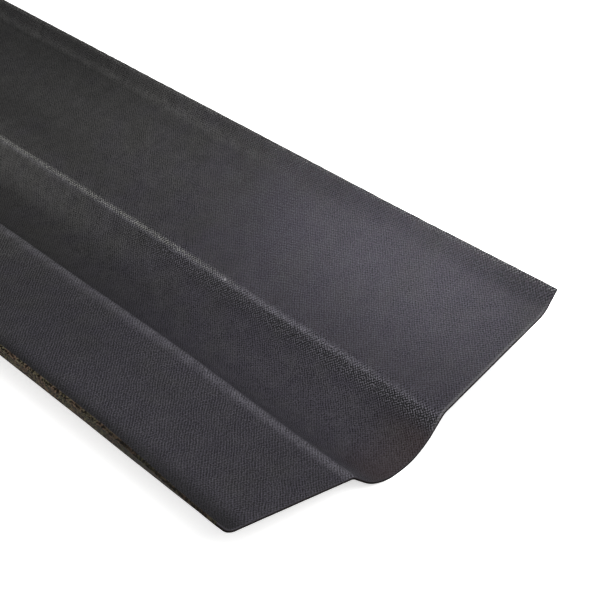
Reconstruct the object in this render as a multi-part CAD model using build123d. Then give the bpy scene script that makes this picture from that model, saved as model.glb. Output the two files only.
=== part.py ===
from build123d import *
from math import cos, radians, sin
import os

# Roof valley sheet: one moulded board with a round water channel between two wings that end in lips.
# X runs across the sheet, Y along the valley, Z up. The origin is under the middle of the channel.
# Sizes are in mm, slopes in degrees from level.

# Sheet
sheet_length = 1000.0
sheet_width = 360.0
sheet_thickness = 2.4

# Bend radii on the underside
channel_radius = 53.2
ridge_radius = 10.8
lip_bend_radius = 19.2

# Slopes of the straight runs
flank_slope = 44.5
wing_slope = 15.0
lip_slope = 58.0

# Straight lengths between the bends
flank_run = 15.0
lip_run = 12.0

# Underside of one half, from the channel bottom outwards, each piece tangent to the one before
channel = JernArc((0, 0), (1, 0), channel_radius, flank_slope)
flank = PolarLine(channel @ 1, flank_run, flank_slope)
ridge = JernArc(flank @ 1, flank % 1, ridge_radius, wing_slope - flank_slope)

# The wing takes up the width that the bends and the lip leave
lip_bend_width = lip_bend_radius * (sin(radians(lip_slope)) - sin(radians(wing_slope)))
lip_width = lip_run * cos(radians(lip_slope))
wing_width = sheet_width / 2 - lip_width - lip_bend_width - (ridge @ 1).X
wing = PolarLine(ridge @ 1, wing_width / cos(radians(wing_slope)), wing_slope)
lip_bend = JernArc(wing @ 1, wing % 1, lip_bend_radius, lip_slope - wing_slope)
lip = PolarLine(lip_bend @ 1, lip_run, lip_slope)

# Section of even thickness with square edges, mirrored about the middle of the channel
underside = Wire([channel, flank, ridge, wing, lip_bend, lip])
half_section = make_face(underside.offset_2d(sheet_thickness, side=Side.LEFT).edges())
section = half_section + mirror(half_section, about=Plane.YZ)

# Sheet cut square at both ends
valley_sheet = extrude(Plane.XZ * section, amount=sheet_length / 2, both=True)

os.makedirs("parts", exist_ok=True)
export_step(valley_sheet, "parts/valley_sheet.step")
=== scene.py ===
import math

import bmesh
import bpy
from mathutils import Matrix, Vector, noise


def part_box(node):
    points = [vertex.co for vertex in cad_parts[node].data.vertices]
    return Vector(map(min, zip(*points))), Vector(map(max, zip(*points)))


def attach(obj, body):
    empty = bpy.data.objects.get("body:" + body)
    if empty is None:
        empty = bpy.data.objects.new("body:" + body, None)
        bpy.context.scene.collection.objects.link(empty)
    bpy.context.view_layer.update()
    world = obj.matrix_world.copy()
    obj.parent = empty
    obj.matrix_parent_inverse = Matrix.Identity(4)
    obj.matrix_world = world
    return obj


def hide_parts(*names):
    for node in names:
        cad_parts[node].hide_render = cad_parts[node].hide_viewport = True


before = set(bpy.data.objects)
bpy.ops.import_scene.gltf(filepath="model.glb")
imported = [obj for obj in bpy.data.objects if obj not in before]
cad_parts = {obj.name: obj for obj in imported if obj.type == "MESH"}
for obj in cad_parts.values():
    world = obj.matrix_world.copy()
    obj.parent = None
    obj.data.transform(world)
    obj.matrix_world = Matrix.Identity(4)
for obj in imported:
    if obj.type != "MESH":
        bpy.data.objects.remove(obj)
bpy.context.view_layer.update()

MM = 0.001

# Roof valley sheet: one pressed board of bitumen-soaked fibre, wire-marked on top and raw below.
# X runs across the sheet, Y along the valley, Z up. The end nearest the camera is at -Y.

# Sizes of the board, from the frame
low_corner, high_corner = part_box("valley_sheet")
sheet_width = high_corner.x - low_corner.x
sheet_length = high_corner.y - low_corner.y
board_thickness = 2.4 * MM

# Bends and straight runs of the underside, from the channel bottom outwards
channel_radius = 53.2 * MM
ridge_radius = 10.8 * MM
lip_bend_radius = 19.2 * MM
flank_slope = math.radians(44.5)
wing_slope = math.radians(15.0)
lip_slope = math.radians(58.0)
flank_run = 15.0 * MM
lip_run = 12.0 * MM

# Where the ridge crest and the lip's edge are, measured over the board from the channel bottom
ridge_across = channel_radius * flank_slope + flank_run + ridge_radius * (flank_slope - wing_slope) / 2
ridge_reach = channel_radius * math.sin(flank_slope) + flank_run * math.cos(flank_slope)
ridge_reach += ridge_radius * (math.sin(flank_slope) - math.sin(wing_slope))
lip_reach = lip_bend_radius * (math.sin(lip_slope) - math.sin(wing_slope)) + lip_run * math.cos(lip_slope)
wing_run = (sheet_width / 2 - lip_reach - ridge_reach) / math.cos(wing_slope)
lip_start = ridge_across + ridge_radius * (flank_slope - wing_slope) / 2 + wing_run
lip_start += lip_bend_radius * (lip_slope - wing_slope)
half_width = lip_start + lip_run

# Fineness of the mesh: steps in each bend and run, along the sheet and through its edges
channel_steps = 14
flank_steps = 5
ridge_steps = 6
wing_steps = 24
lip_bend_steps = 8
lip_steps = 5
length_steps = 340
rim_rows = 3

# Points closer than this are one point, and points this close to an edge are on it
weld_reach = 0.01 * MM
edge_reach = 0.1 * MM

# Unevenness that the press and the drying leave in the board, and where its patterns start
slow_wave_length = 140.0 * MM
slow_wave_height = 0.6 * MM
slow_wave_start = Vector((3.1, 7.7, 0.0))
dent_length = 34.0 * MM
dent_height = 0.12 * MM
dent_start = Vector((11.3, 2.9, 5.0))

# Ragged edges: the long ones are torn coarsely and, by a share of that, finely, the ends less deep
ragged_length = 6.0 * MM
ragged_depth = 0.25 * MM
fine_tear_share = 0.5
fine_tear_times = 7.0
end_tear_share = 0.4

# The board springs open towards its cut ends, so between them the ridges stand closer and the left lip
# curls in, and at the ends the right lip leans out. The right lip was trimmed a little taller.
spring_length = 215.0 * MM
spring_reach = 20.0 * MM
ridge_inward = 2.2 * MM
ridge_lift = 2.7 * MM
far_ridge_lift = 0.9 * MM
far_spring_length = 380.0 * MM
left_lip_curl = math.radians(21.0)
left_curl_length = 130.0 * MM
right_lip_lean = math.radians(7.0)
right_lip_extra = 0.3 * MM
right_corner_extra = 1.4 * MM
near_end_overrun = 0.4 * MM


def spin_bend(bm, tip, radius, slope, turn, steps):
    """Carries the section line round a bend. tip is its last vertex and slope its direction there."""
    side = math.copysign(1.0, turn)
    centre = tip.co + side * radius * Vector((-math.sin(slope), 0.0, math.cos(slope)))
    made = bmesh.ops.spin(bm, geom=[tip], cent=centre, axis=(0.0, -1.0, 0.0), angle=turn, steps=steps)
    return next(g for g in made["geom_last"] if isinstance(g, bmesh.types.BMVert))


def draw_run(bm, geometry, stride, steps):
    """Carries a vertex or a line of edges straight on by equal strides, and gives what is at the end."""
    made = bmesh.ops.spin(bm, geom=geometry, cent=(0.0, 0.0, 0.0), axis=(0.0, 0.0, 1.0), dvec=stride,
                          angle=0.0, steps=steps)
    return made["geom_last"]


def along_slope(length, slope):
    """A step of a length up a slope, on the right half of the section."""
    return length * Vector((math.cos(slope), 0.0, math.sin(slope)))


def draw_underside(bm):
    """The underside's section line, at the near end."""
    tip = bm.verts.new((0.0, low_corner.y, 0.0))
    tip = spin_bend(bm, tip, channel_radius, 0.0, flank_slope, channel_steps)
    tip = draw_run(bm, [tip], along_slope(flank_run / flank_steps, flank_slope), flank_steps)[0]
    tip = spin_bend(bm, tip, ridge_radius, flank_slope, wing_slope - flank_slope, ridge_steps)
    tip = draw_run(bm, [tip], along_slope(wing_run / wing_steps, wing_slope), wing_steps)[0]
    tip = spin_bend(bm, tip, lip_bend_radius, wing_slope, lip_slope - wing_slope, lip_bend_steps)
    draw_run(bm, [tip], along_slope(lip_run / lip_steps, lip_slope), lip_steps)
    bmesh.ops.mirror(bm, geom=bm.verts[:] + bm.edges[:], matrix=Matrix(), merge_dist=weld_reach, axis="X")


def measure_across(bm, across):
    """Writes each point's distance from the channel bottom, measured over the board."""
    line = sorted(bm.verts, key=lambda v: v.co.x)
    walked = 0.0
    for before, after in zip(line, line[1:]):
        before[across] = walked
        walked += (after.co - before.co).length
    line[-1][across] = walked
    for point in line:
        point[across] -= walked / 2


def unevenness(place):
    """How far a point of the board stands off its true shape. place is across and along the board."""
    wave = noise.noise(place / slow_wave_length + slow_wave_start)
    dent = noise.noise(place / dent_length + dent_start)
    return slow_wave_height * wave + dent_height * dent


def sprung(along, length=spring_length):
    """How far the board has sprung from its true section: 0 at a cut end, 1 a length away from it."""
    share = min(1.0, max(0.0, (sheet_length / 2 - abs(along)) / length))
    return share * share * (3.0 - 2.0 * share)


def lip_angle(side, along):
    """The lip's slope: the left one is curled in between the ends, the right one leans out at them."""
    if side < 0.0:
        return lip_slope + left_lip_curl * sprung(along, left_curl_length)
    return lip_slope - right_lip_lean * (1.0 - sprung(along))


def spring_back(point, across, along):
    """Moves a point of the board from the true section to the one that this sheet has sprung to."""
    side = math.copysign(1.0, point[across])
    share = sprung(point[along])
    far_share = sprung(point[along], far_spring_length)
    near_ridge = math.exp(-((abs(point[across]) - ridge_across) / spring_reach) ** 2)
    point.co.x -= side * ridge_inward * near_ridge * share
    point.co.z += near_ridge * (ridge_lift * share + far_ridge_lift * far_share)
    past_bend = abs(point[across]) - lip_start
    if past_bend > 0.0:
        reach = past_bend
        if side > 0.0:
            reach += (right_lip_extra + right_corner_extra * (1.0 - share)) * past_bend / lip_run
        shift = along_slope(reach, lip_angle(side, point[along])) - along_slope(past_bend, lip_slope)
        point.co += Vector((side * shift.x, 0.0, shift.z))


def tear_edges(point, across, along):
    """Roughens the sheet's four edges. The last two numbers of each place give each edge its own noise."""
    side = math.copysign(1.0, point[across])
    if half_width - abs(point[across]) < edge_reach:
        place = point[along] / ragged_length
        pull = ragged_depth * noise.noise(Vector((place, 5.0 * side, 1.7)))
        fine_place = Vector((place * fine_tear_times, 5.0 * side, 9.7))
        pull += fine_tear_share * ragged_depth * noise.noise(fine_place)
        lean = along_slope(pull, lip_angle(side, point[along]))
        point.co += Vector((side * lean.x, 0.0, lean.z))
    if sheet_length / 2 - abs(point[along]) < edge_reach:
        end = math.copysign(1.0, point[along])
        place = Vector((point[across] / ragged_length, 3.0 * end, 4.3))
        point.co.y += end_tear_share * ragged_depth * noise.noise(place)
        if end < 0.0:
            point.co.y -= near_end_overrun


def make_underside(bm, across, along):
    """The whole underside as this sheet has it, with each point's place over the board written down."""
    draw_underside(bm)
    measure_across(bm, across)
    draw_run(bm, bm.edges[:], Vector((0.0, sheet_length / length_steps, 0.0)), length_steps)
    bmesh.ops.remove_doubles(bm, verts=bm.verts[:], dist=weld_reach)
    bmesh.ops.recalc_face_normals(bm, faces=bm.faces[:])
    if sum(f.normal.z for f in bm.faces) > 0:
        bmesh.ops.reverse_faces(bm, faces=bm.faces[:])
    for point in bm.verts:
        point[along] = point.co.y
    bm.normal_update()
    for point in bm.verts:
        off = unevenness(Vector((point[across], point[along], 0.0)))
        point.co -= point.normal * off
        spring_back(point, across, along)
        tear_edges(point, across, along)
        point.co.z = max(point.co.z, 0.0)


def split_rim(bm, rim_faces, across, along):
    """Cuts the rim into rows, across the edges that run straight through the board."""
    slack = 0.3 * board_thickness
    rungs = [e for e in bm.edges if len([f for f in e.link_faces if f in rim_faces]) == 2
             and abs(e.calc_length() - board_thickness) < slack
             and e.verts[0][across] == e.verts[1][across] and e.verts[0][along] == e.verts[1][along]]
    bmesh.ops.subdivide_edges(bm, edges=rungs, cuts=rim_rows - 1, use_grid_fill=True)


def make_board():
    """The whole sheet, with its kinds of face: 0 raw underside, 1 pressed top, 2 cut ends, 3 torn lips."""
    end_facing = 0.7   # a rim face turned more than this along the sheet is on a cut end
    bm = bmesh.new()
    across = bm.verts.layers.float.new("across")
    along = bm.verts.layers.float.new("along")
    depth = bm.verts.layers.float.new("depth")
    make_underside(bm, across, along)
    underside = bm.faces[:]
    pressed = bmesh.ops.solidify(bm, geom=underside, thickness=board_thickness)["geom"]
    pressed_faces = {f for f in pressed if isinstance(f, bmesh.types.BMFace)}
    bm.normal_update()
    for face in bm.faces:
        face.smooth = True
        if face in pressed_faces:
            face.material_index = 1
            for point in face.verts:
                point[depth] = 1.0
    rim_faces = set(bm.faces) - pressed_faces - set(underside)
    for face in rim_faces:
        face.material_index = 2 if abs(face.normal.y) > end_facing else 3
    split_rim(bm, rim_faces, across, along)
    laid_out = bm.loops.layers.uv.new("laid_out")
    through = bm.loops.layers.uv.new("through")
    for face in bm.faces:
        for loop in face.loops:
            loop[laid_out].uv = (loop.vert[across], loop.vert[along])
            loop[through].uv = (loop.vert[along], loop.vert[depth])
    for edge in bm.edges:
        if len({f.material_index for f in edge.link_faces}) > 1:
            edge.smooth = False
    bmesh.ops.recalc_face_normals(bm, faces=bm.faces[:])
    mesh = bpy.data.meshes.new("valley_sheet_board")
    bm.to_mesh(mesh)
    bm.free()
    board = bpy.data.objects.new("valley_sheet_board", mesh)
    bpy.context.scene.collection.objects.link(board)
    return board


# Materials

def linear(code):
    """An sRGB hex colour as linear light."""
    shares = [int(code[i:i + 2], 16) / 255 for i in (1, 3, 5)]
    return tuple(c / 12.92 if c <= 0.04045 else ((c + 0.055) / 1.055) ** 2.4 for c in shares) + (1.0,)


def add(tree, kind, settings=(), links=()):
    """Adds a node. Settings are its inputs or properties, and links join its inputs to other sockets."""
    made = tree.nodes.new(kind)
    for key, value in dict(settings).items():
        if isinstance(key, int) or key in made.inputs:
            made.inputs[key].default_value = value
        else:
            setattr(made, key, value)
    for key, socket in dict(links).items():
        tree.links.new(socket, made.inputs[key])
    return made


def start_material(name):
    """A new material, with its tree and its shader."""
    material = bpy.data.materials.new(name)
    material.use_nodes = True
    return material, material.node_tree, material.node_tree.nodes["Principled BSDF"]


def place_in_sheet(tree):
    """Each spot's place in the sheet's own frame, in mm."""
    place = add(tree, "ShaderNodeTexCoord").outputs["Object"]
    return add(tree, "ShaderNodeVectorMath", {"operation": "SCALE", "Scale": 1 / MM}, {0: place}).outputs[0]


def tint_band(tree, body, colour, share, across, band, along, stretch, hold):
    """Mixes a colour into the board's over a band of it.

    band is where the colour starts, is full, starts to fade and is gone, in mm across the board. stretch is
    where it starts and is full, in mm along it. hold is how well each spot takes it, from 0 to 1.
    """
    rise = add(tree, "ShaderNodeMapRange",
               {"interpolation_type": "SMOOTHSTEP", "From Min": band[0], "From Max": band[1]},
               {"Value": across}).outputs[0]
    fall = add(tree, "ShaderNodeMapRange",
               {"interpolation_type": "SMOOTHSTEP", "From Min": band[3], "From Max": band[2]},
               {"Value": across}).outputs[0]
    reach = add(tree, "ShaderNodeMapRange",
                {"interpolation_type": "SMOOTHSTEP", "From Min": stretch[0], "From Max": stretch[1],
                 "To Max": share},
                {"Value": along}).outputs[0]
    for other in (rise, fall, hold):
        reach = add(tree, "ShaderNodeMath", {"operation": "MULTIPLY"}, {0: reach, 1: other}).outputs[0]
    return add(tree, "ShaderNodeMix", {"data_type": "RGBA", 7: linear(colour)},
               {0: reach, 6: body}).outputs[2]


def wire_marks(tree, place):
    """Height of the dots that the wire cloth left, from about -2.3 to 2.3. place is in mm over the board."""
    wire_pitch = 1.4   # mm; the real cloth is a little finer, about 1 mm, which is too fine to show
    drift_size = 18.0   # mm; over this length the wires wander off their lines
    drift_reach = 3.0   # mm
    bite_size = 5.0   # mm; patches where the cloth pressed deeper
    grit_size = 1.3   # mm; lumps of the fibre pulp
    drift = add(tree, "ShaderNodeTexNoise", {"Scale": 1 / drift_size, "Detail": 1.0}, {"Vector": place})
    drift = add(tree, "ShaderNodeVectorMath", {"operation": "SCALE", "Scale": drift_reach},
                {0: drift.outputs["Color"]}).outputs[0]
    drifted = add(tree, "ShaderNodeVectorMath", {"operation": "ADD"}, {0: place, 1: drift}).outputs[0]
    phase = add(tree, "ShaderNodeVectorMath", {"operation": "SCALE", "Scale": math.pi / wire_pitch},
                {0: drifted}).outputs[0]
    wave = add(tree, "ShaderNodeVectorMath", {"operation": "SINE"}, {0: phase}).outputs[0]
    parts = add(tree, "ShaderNodeSeparateXYZ", {}, {0: wave})
    weave = add(tree, "ShaderNodeMath", {"operation": "MULTIPLY"},
                {0: parts.outputs["X"], 1: parts.outputs["Y"]}).outputs[0]
    bite = add(tree, "ShaderNodeTexNoise", {"Scale": 1 / bite_size, "Detail": 3.0, "Roughness": 0.7},
               {"Vector": place}).outputs["Fac"]
    bite = add(tree, "ShaderNodeMapRange",
               {"From Min": 0.35, "From Max": 0.65, "To Min": 0.2, "To Max": 1.5},
               {"Value": bite}).outputs[0]
    marks = add(tree, "ShaderNodeMath", {"operation": "MULTIPLY"}, {0: weave, 1: bite}).outputs[0]
    grit = add(tree, "ShaderNodeTexNoise", {"Scale": 1 / grit_size, "Detail": 1.0},
               {"Vector": place}).outputs["Fac"]
    grit = add(tree, "ShaderNodeMapRange",
               {"From Min": 0.3, "From Max": 0.7, "To Min": -0.8, "To Max": 0.8},
               {"Value": grit}).outputs[0]
    return add(tree, "ShaderNodeMath", {"operation": "ADD"}, {0: grit, 1: marks}).outputs[0]


def charcoal_skin(tree, place, along, raised):
    """Colour of the skin: charcoal, cooler at the near end, dark in the pits, partly as painted shade, with
    dust in soft blotches.
    """
    cool_start, cool_full = 60.0, -330.0   # mm along the board
    cloud_size = 40.0   # mm
    dust_size = 16.0   # mm
    cool = add(tree, "ShaderNodeMapRange",
               {"interpolation_type": "SMOOTHSTEP", "From Min": cool_start, "From Max": cool_full},
               {"Value": along}).outputs[0]
    clouds = add(tree, "ShaderNodeTexNoise", {"Scale": 1 / cloud_size, "Detail": 5.0, "Roughness": 0.6},
                 {"Vector": place}).outputs["Fac"]
    clouds = add(tree, "ShaderNodeMapRange",
                 {"From Min": 0.35, "From Max": 0.65, "To Min": -0.3, "To Max": 0.3},
                 {"Value": clouds}).outputs[0]
    cool = add(tree, "ShaderNodeMath", {"operation": "ADD", "use_clamp": True},
               {0: cool, 1: clouds}).outputs[0]
    tops = add(tree, "ShaderNodeMix", {"data_type": "RGBA", 6: linear("#3a3938"), 7: linear("#3c3942")},
               {0: cool}).outputs[2]
    body = add(tree, "ShaderNodeMix", {"data_type": "RGBA", 6: linear("#0c0c0e")},
               {0: raised, 7: tops}).outputs[2]
    dust = add(tree, "ShaderNodeTexNoise", {"Scale": 1 / dust_size, "Detail": 5.0, "Roughness": 0.65},
               {"Vector": place}).outputs["Fac"]
    dust = add(tree, "ShaderNodeMapRange", {"From Min": 0.4, "From Max": 0.75, "To Max": 0.11},
               {"Value": dust}).outputs[0]
    return add(tree, "ShaderNodeMix", {"data_type": "RGBA", 7: linear("#636262")},
               {0: dust, 6: body}).outputs[2]


def weathering_and_painted_light(tree, body, place, across, along, raised):
    """Mixes a damp stain, dust, rubbing, painted shade and painted highlights into the skin's colour, each
    where it shows on this sheet.
    """
    patch_size = 40.0   # mm
    speckle_size = 12.0   # mm
    # How much of each colour a spot takes: evenly in patches, in speckles, on the raised dots or in the pits
    patchy = add(tree, "ShaderNodeTexNoise", {"Scale": 1 / patch_size, "Detail": 7.0, "Roughness": 0.7},
                 {"Vector": place}).outputs["Fac"]
    patchy = add(tree, "ShaderNodeMapRange",
                 {"From Min": 0.3, "From Max": 0.7, "To Min": 0.7, "To Max": 1.0},
                 {"Value": patchy}).outputs[0]
    speckled = add(tree, "ShaderNodeTexNoise", {"Scale": 1 / speckle_size, "Detail": 8.0, "Roughness": 0.75},
                   {"Vector": place}).outputs["Fac"]
    speckled = add(tree, "ShaderNodeMapRange",
                   {"From Min": 0.35, "From Max": 0.65, "To Min": 0.25, "To Max": 1.0},
                   {"Value": speckled}).outputs[0]
    speckled_tops = add(tree, "ShaderNodeMath", {"operation": "MULTIPLY"}, {0: speckled, 1: raised}).outputs[0]
    caps = add(tree, "ShaderNodeMapRange", {"From Min": 0.55, "From Max": 0.9},
               {"Value": raised}).outputs[0]
    pits = add(tree, "ShaderNodeMath", {"operation": "SUBTRACT", 0: 1.0}, {1: raised}).outputs[0]
    # Places, in mm over the board, and colours
    crest, edge = ridge_across / MM, half_width / MM
    near = -sheet_length / 2 / MM
    anywhere = (near, near + 1.0)
    from_left = (-edge - 1.0, -edge)
    to_right = (edge, edge + 1.0)
    # shade_black darkens the board as painted shade; damp_brown is a damp stain
    shade_black, damp_brown = "#050505", "#2e211d"
    grey, cool_grey, warm_grey = "#908f8d", "#8f8d95", "#919188"
    stains_and_painted_light = (
        # Painted shade in the channel, deepening towards the far end
        (shade_black, 0.12, (-42.0, -18.0, 18.0, 42.0), anywhere, patchy),
        (shade_black, 0.34, (-60.0, -30.0, 5.0, 40.0), (-340.0, -160.0), patchy),
        # The left wing and its lip: painted shade, deepest at the lip's root
        (shade_black, 0.55, (*from_left, -72.0, -64.0), anywhere, pits),
        (cool_grey, 0.05, (*from_left, -72.0, -64.0), (near - 30.0, -340.0), caps),
        (shade_black, 0.14, (*from_left, -80.0, -66.0), (-320.0, -230.0), patchy),
        (shade_black, 0.75, (*from_left, -178.0, -158.0), anywhere, patchy),
        (shade_black, 0.50, (*from_left, -175.0, -167.0), (-430.0, -340.0), patchy),
        # The right wing: painted shade, deepening towards the far end and towards the root of its lip
        (shade_black, 0.42, (130.0, 175.0, 177.0, 184.0), (-130.0, 150.0), patchy),
        (shade_black, 0.58, (66.0, 90.0, 176.0, 186.0), (-130.0, 230.0), patchy),
        # Painted shade on the right flank and channel at the near end and in the flank's pits just below the
        # right ridge, darker pits at the near corner of the right lip, and a damp brown stain at the
        # channel's near end
        (shade_black, 0.44, (5.0, 38.0, 50.0, 56.0), (near + 90.0, near + 20.0), patchy),
        (shade_black, 0.90, (36.0, 50.0, 52.0, 57.0), (-50.0, -230.0), pits),
        (shade_black, 0.80, (40.0, 50.0, 52.0, 57.0), (-60.0, -400.0), pits),
        (shade_black, 0.60, (180.0, 187.0, *to_right), (-390.0, -460.0), pits),
        (damp_brown, 0.45, (-45.0, -20.0, 30.0, 50.0), (near + 60.0, near), patchy),
        # Dust on the right flank and the wings; a painted highlight, partly dust, on the dot tops at the top
        # of the right flank towards the near end; the right lip partly dusty and painted lighter in its
        # middle stretch, with painted shade over its far stretch
        (cool_grey, 0.22, (38.0, 50.0, 54.0, 59.0), (-60.0, -260.0), caps),
        (grey, 0.19, (12.0, 42.0, 50.0, 56.0), (-330.0, 200.0), speckled),
        (grey, 0.08, (80.0, 120.0, 174.0, 184.0), (-250.0, -130.0), speckled_tops),
        (grey, 0.06, (-130.0, -110.0, -72.0, -62.0), (-150.0, -60.0), speckled_tops),
        (grey, 0.18, (174.0, 182.0, *to_right), (-270.0, -170.0), speckled_tops),
        (shade_black, 0.55, (174.0, 180.0, *to_right), (-80.0, 110.0), patchy),
        # Right ridge: rubbed wear and a painted highlight, set on the flank side of the crest
        (cool_grey, 0.49, (crest - 7.6, crest - 3.4, crest - 3.0, crest + 1.0),
         (near - 40.0, -330.0), speckled_tops),
        (warm_grey, 0.62, (crest - 5.6, crest - 2.4, crest - 1.8, crest + 0.9), (-340.0, -150.0), caps),
        (grey, 0.11, (crest - 10.0, crest - 5.5, crest - 3.5, crest), (-110.0, 30.0), speckled),
        # Left ridge: rubbed wear and a painted highlight of the grazing reflection along its crest
        (cool_grey, 0.35, (-crest - 13.0, -crest - 2.0, -crest + 1.0, -crest + 8.0),
         (-170.0, -280.0), speckled_tops),
        (cool_grey, 0.41, (-crest - 12.0, -crest + 2.0, -crest + 6.0, -crest + 14.0),
         (-280.0, -150.0), speckled_tops),
        # Rubbed bend of the right lip, and painted highlights along the lip's edge and the near end, as a
        # rounded arris would catch light
        (grey, 0.11, (178.5, 184.0, 186.5, 192.0), (-220.0, 0.0), speckled_tops),
        (grey, 0.45, (edge - 5.0, edge - 0.3, *to_right), anywhere, caps),
        (grey, 0.17, (30.0, 62.0, 186.0, 196.0), (near + 2.4, near + 1.4), patchy),
    )
    for colour, share, band, stretch, hold in stains_and_painted_light:
        body = tint_band(tree, body, colour, share, across, band, along, stretch, hold)
    return body


def chipped(tree, body, place):
    """Bares pale fibre at a small chip in the skin of the right ridge. place is in mm over the board."""
    chip_place = (56.3, -258.0, 0.0)
    chip_rim, chip_floor = 1.6, 0.5   # mm from the chip's middle
    away = add(tree, "ShaderNodeVectorMath", {"operation": "DISTANCE", 1: chip_place},
               {0: place}).outputs["Value"]
    bare = add(tree, "ShaderNodeMapRange", {"From Min": chip_rim, "From Max": chip_floor, "To Max": 0.65},
               {"Value": away}).outputs[0]
    return add(tree, "ShaderNodeMix", {"data_type": "RGBA", 7: linear("#a5a3a6")},
               {0: bare, 6: body}).outputs[2]


def pressed_bitumen_board():
    """Bitumen-soaked fibre board pressed on a wire cloth: matt charcoal, wire-dotted, with rubbed ridges,
    painted highlights and painted shade.
    """
    relief_depth = 0.35 * MM
    material, tree, surface = start_material("pressed_bitumen_board")
    uv = add(tree, "ShaderNodeUVMap", {"uv_map": "laid_out"}).outputs["UV"]
    place = add(tree, "ShaderNodeVectorMath", {"operation": "SCALE", "Scale": 1 / MM}, {0: uv}).outputs[0]
    spread = add(tree, "ShaderNodeSeparateXYZ", {}, {0: place})
    across, along = spread.outputs["X"], spread.outputs["Y"]
    height = wire_marks(tree, place)
    relief = add(tree, "ShaderNodeBump", {"Strength": 1.0, "Distance": relief_depth}, {"Height": height})
    tree.links.new(relief.outputs["Normal"], surface.inputs["Normal"])
    raised = add(tree, "ShaderNodeMapRange", {"From Min": -0.9, "From Max": 0.9},
                 {"Value": height}).outputs[0]
    body = charcoal_skin(tree, place, along, raised)
    body = weathering_and_painted_light(tree, body, place, across, along, raised)
    body = chipped(tree, body, place)
    tree.links.new(body, surface.inputs["Base Color"])
    # The dots are polished a little, the pits are dull
    dull = add(tree, "ShaderNodeMapRange", {"To Min": 0.85, "To Max": 0.5}, {"Value": raised}).outputs[0]
    tree.links.new(dull, surface.inputs["Roughness"])
    surface.inputs["Specular IOR Level"].default_value = 0.22
    return material


def bare_fibres(tree, place, olive, brown):
    """Bare fibres: their pattern, and their colour, which goes from olive to brown in patches."""
    fibre_size = 1.7   # mm; clumps of fibres, since single ones are too fine to show
    tint_size = 9.0   # mm
    fibres = add(tree, "ShaderNodeTexNoise", {"Scale": 1 / fibre_size, "Detail": 2.0, "Roughness": 0.55},
                 {"Vector": place}).outputs["Fac"]
    tint = add(tree, "ShaderNodeTexNoise", {"Scale": 1 / tint_size, "Detail": 3.0},
               {"Vector": place}).outputs["Fac"]
    tint = add(tree, "ShaderNodeMapRange", {"From Min": 0.4, "From Max": 0.6}, {"Value": tint}).outputs[0]
    colour = add(tree, "ShaderNodeMix", {"data_type": "RGBA", 6: linear(olive), 7: linear(brown)},
                 {0: tint}).outputs[2]
    return fibres, colour


def darken_near_end(tree, body, place):
    """Darkens bare fibres over the last stretch of the near end. place is in mm."""
    dark_start, dark_full = -330.0, -410.0   # mm along the board
    along = add(tree, "ShaderNodeSeparateXYZ", {}, {0: place}).outputs["Y"]
    share = add(tree, "ShaderNodeMapRange",
                {"From Min": dark_start, "From Max": dark_full, "To Max": 0.65},
                {"Value": along}).outputs[0]
    return add(tree, "ShaderNodeMix", {"data_type": "RGBA", 7: linear("#0b0a09")},
               {0: share, 6: body}).outputs[2]


def finish_matt(tree, surface, body, height, strength, depth, shine):
    """Gives a shader its colour and its relief, which is up to depth deep, and a dull surface."""
    tree.links.new(body, surface.inputs["Base Color"])
    relief = add(tree, "ShaderNodeBump", {"Strength": strength, "Distance": depth}, {"Height": height})
    tree.links.new(relief.outputs["Normal"], surface.inputs["Normal"])
    surface.inputs["Roughness"].default_value = 0.9
    surface.inputs["Specular IOR Level"].default_value = shine


def raw_bitumen_board():
    """The same board where no wire cloth touched it: brown and olive fibres showing through the bitumen."""
    material, tree, surface = start_material("raw_bitumen_board")
    place = place_in_sheet(tree)
    fibres, fibre = bare_fibres(tree, place, "#423f2d", "#4b3c2f")
    shown = add(tree, "ShaderNodeMapRange", {"From Min": 0.47, "From Max": 0.59},
                {"Value": fibres}).outputs[0]
    body = add(tree, "ShaderNodeMix", {"data_type": "RGBA", 6: linear("#080605")},
               {0: shown, 7: fibre}).outputs[2]
    body = darken_near_end(tree, body, place)
    finish_matt(tree, surface, body, fibres, strength=1.0, depth=0.5 * MM, shine=0.05)
    return material


def torn_bitumen_board():
    """The long edges: fibres of both skins stick out brown and olive, and the core between them is black."""
    material, tree, surface = start_material("torn_bitumen_board")
    through = add(tree, "ShaderNodeUVMap", {"uv_map": "through"}).outputs["UV"]
    depth = add(tree, "ShaderNodeSeparateXYZ", {}, {0: through}).outputs["Y"]
    place = place_in_sheet(tree)
    fibres, fibre = bare_fibres(tree, place, "#434032", "#493c32")
    stray = add(tree, "ShaderNodeMapRange",
                {"From Min": 0.35, "From Max": 0.65, "To Min": -0.9, "To Max": 0.7},
                {"Value": fibres}).outputs[0]
    from_core = add(tree, "ShaderNodeMath", {"operation": "SUBTRACT", 1: 0.5}, {0: depth}).outputs[0]
    from_core = add(tree, "ShaderNodeMath", {"operation": "ABSOLUTE"}, {0: from_core}).outputs[0]
    from_core = add(tree, "ShaderNodeMath", {"operation": "ADD"}, {0: from_core, 1: stray}).outputs[0]
    skin = add(tree, "ShaderNodeMapRange", {"From Min": 0.05, "From Max": 0.5},
               {"Value": from_core}).outputs[0]
    body = add(tree, "ShaderNodeMix", {"data_type": "RGBA", 6: linear("#0c0a07")},
               {0: skin, 7: fibre}).outputs[2]
    body = darken_near_end(tree, body, place)
    finish_matt(tree, surface, body, fibres, strength=1.0, depth=0.4 * MM, shine=0.05)
    return material


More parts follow.
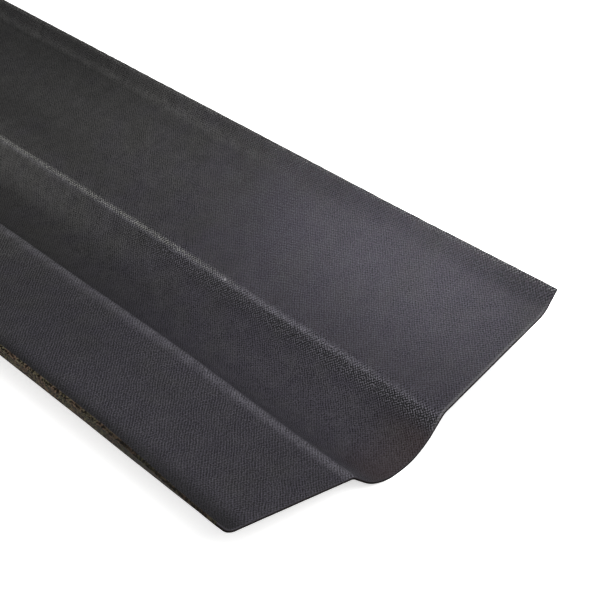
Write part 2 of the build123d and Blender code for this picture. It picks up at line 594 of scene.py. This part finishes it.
def cut_bitumen_board():
    """The board's sawn end: bitumen smeared black by the blade, the charcoal skin dragged over its top."""
    smear_size = 1.5   # mm
    material, tree, surface = start_material("cut_bitumen_board")
    through = add(tree, "ShaderNodeUVMap", {"uv_map": "through"}).outputs["UV"]
    depth = add(tree, "ShaderNodeSeparateXYZ", {}, {0: through}).outputs["Y"]
    dragged = add(tree, "ShaderNodeMapRange", {"From Min": 0.45, "From Max": 0.75},
                  {"Value": depth}).outputs[0]
    place = place_in_sheet(tree)
    smear = add(tree, "ShaderNodeTexNoise", {"Scale": 1 / smear_size, "Detail": 3.0},
                {"Vector": place}).outputs["Fac"]
    body = add(tree, "ShaderNodeMix", {"data_type": "RGBA", 6: linear("#060606"), 7: linear("#15110e")},
               {0: smear}).outputs[2]
    body = add(tree, "ShaderNodeMix", {"data_type": "RGBA", 7: linear("#2f2d30")},
               {0: dragged, 6: body}).outputs[2]
    finish_matt(tree, surface, body, smear, strength=0.6, depth=0.3 * MM, shine=0.0)
    return material


def pale_floor():
    """Plain white acrylic of a light table, lit a little from below, very slightly mottled."""
    mottle_size = 1 / 3.0   # m
    material, tree, surface = start_material("pale_floor")
    place = add(tree, "ShaderNodeTexCoord").outputs["Object"]
    mottle = add(tree, "ShaderNodeTexNoise", {"Scale": 1 / mottle_size, "Detail": 2.0},
                 {"Vector": place}).outputs["Fac"]
    body = add(tree, "ShaderNodeMix", {"data_type": "RGBA", 6: linear("#f4f4f4"), 7: linear("#f7f7f7")},
               {0: mottle}).outputs[2]
    tree.links.new(body, surface.inputs["Base Color"])
    surface.inputs["Roughness"].default_value = 0.9
    surface.inputs["Emission Color"].default_value = linear("#ffffff")
    surface.inputs["Emission Strength"].default_value = 0.65
    return material


board = make_board()
for finish in (raw_bitumen_board(), pressed_bitumen_board(), cut_bitumen_board(), torn_bitumen_board()):
    board.data.materials.append(finish)
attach(board, "root")
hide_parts("valley_sheet")


# Studio

def make_floor():
    """A wide plain floor under the sheet."""
    floor_reach = 20.0   # m from the middle
    bm = bmesh.new()
    bmesh.ops.create_grid(bm, x_segments=2, y_segments=2, size=floor_reach)
    mesh = bpy.data.meshes.new("floor")
    bm.to_mesh(mesh)
    bm.free()
    floor = bpy.data.objects.new("floor", mesh)
    floor.data.materials.append(pale_floor())
    bpy.context.scene.collection.objects.link(floor)


def add_softbox(name, place, target, width, depth, power, spread=180.0):
    """A rectangular studio light. spread is the angle in degrees that its grid lets light out over."""
    lamp = bpy.data.lights.new(name, "AREA")
    lamp.shape = "RECTANGLE"
    lamp.size = width
    lamp.size_y = depth
    lamp.energy = power
    lamp.spread = math.radians(spread)
    box = bpy.data.objects.new(name, lamp)
    box.location = place
    box.rotation_euler = (Vector(target) - Vector(place)).to_track_quat("-Z", "Y").to_euler()
    box.visible_camera = False
    bpy.context.scene.collection.objects.link(box)


def add_sky():
    """Even white light from all round."""
    world = bpy.data.worlds.new("studio")
    world.use_nodes = True
    sky = world.node_tree.nodes["Background"]
    sky.inputs["Color"].default_value = linear("#ffffff")
    sky.inputs["Strength"].default_value = 0.35
    bpy.context.scene.world = world


def add_camera():
    """The photograph's viewpoint: level horizon, looking down along the valley from its near left corner."""
    heading = math.radians(44.46)
    dip = math.radians(36.99)
    lens = bpy.data.cameras.new("camera")
    lens.lens = 81.38
    lens.sensor_width = 36.0
    camera = bpy.data.objects.new("camera", lens)
    camera.location = (-567.1 * MM, -972.8 * MM, 715.5 * MM)
    camera.rotation_euler = (math.pi / 2 - dip, 0.0, -heading)
    bpy.context.scene.collection.objects.link(camera)
    bpy.context.scene.camera = camera


make_floor()
add_softbox("key", place=(-0.35, -1.0, 1.6), target=(0.0, -0.35, 0.0), width=1.4, depth=1.4, power=51.0)
add_softbox("wing_strip", place=(-0.15, -0.366, 1.10), target=(0.160, -0.366, 0.05), width=0.26, depth=0.06,
            power=0.20, spread=13.0)
add_sky()
bpy.context.scene.view_settings.view_transform = "Standard"
add_camera()
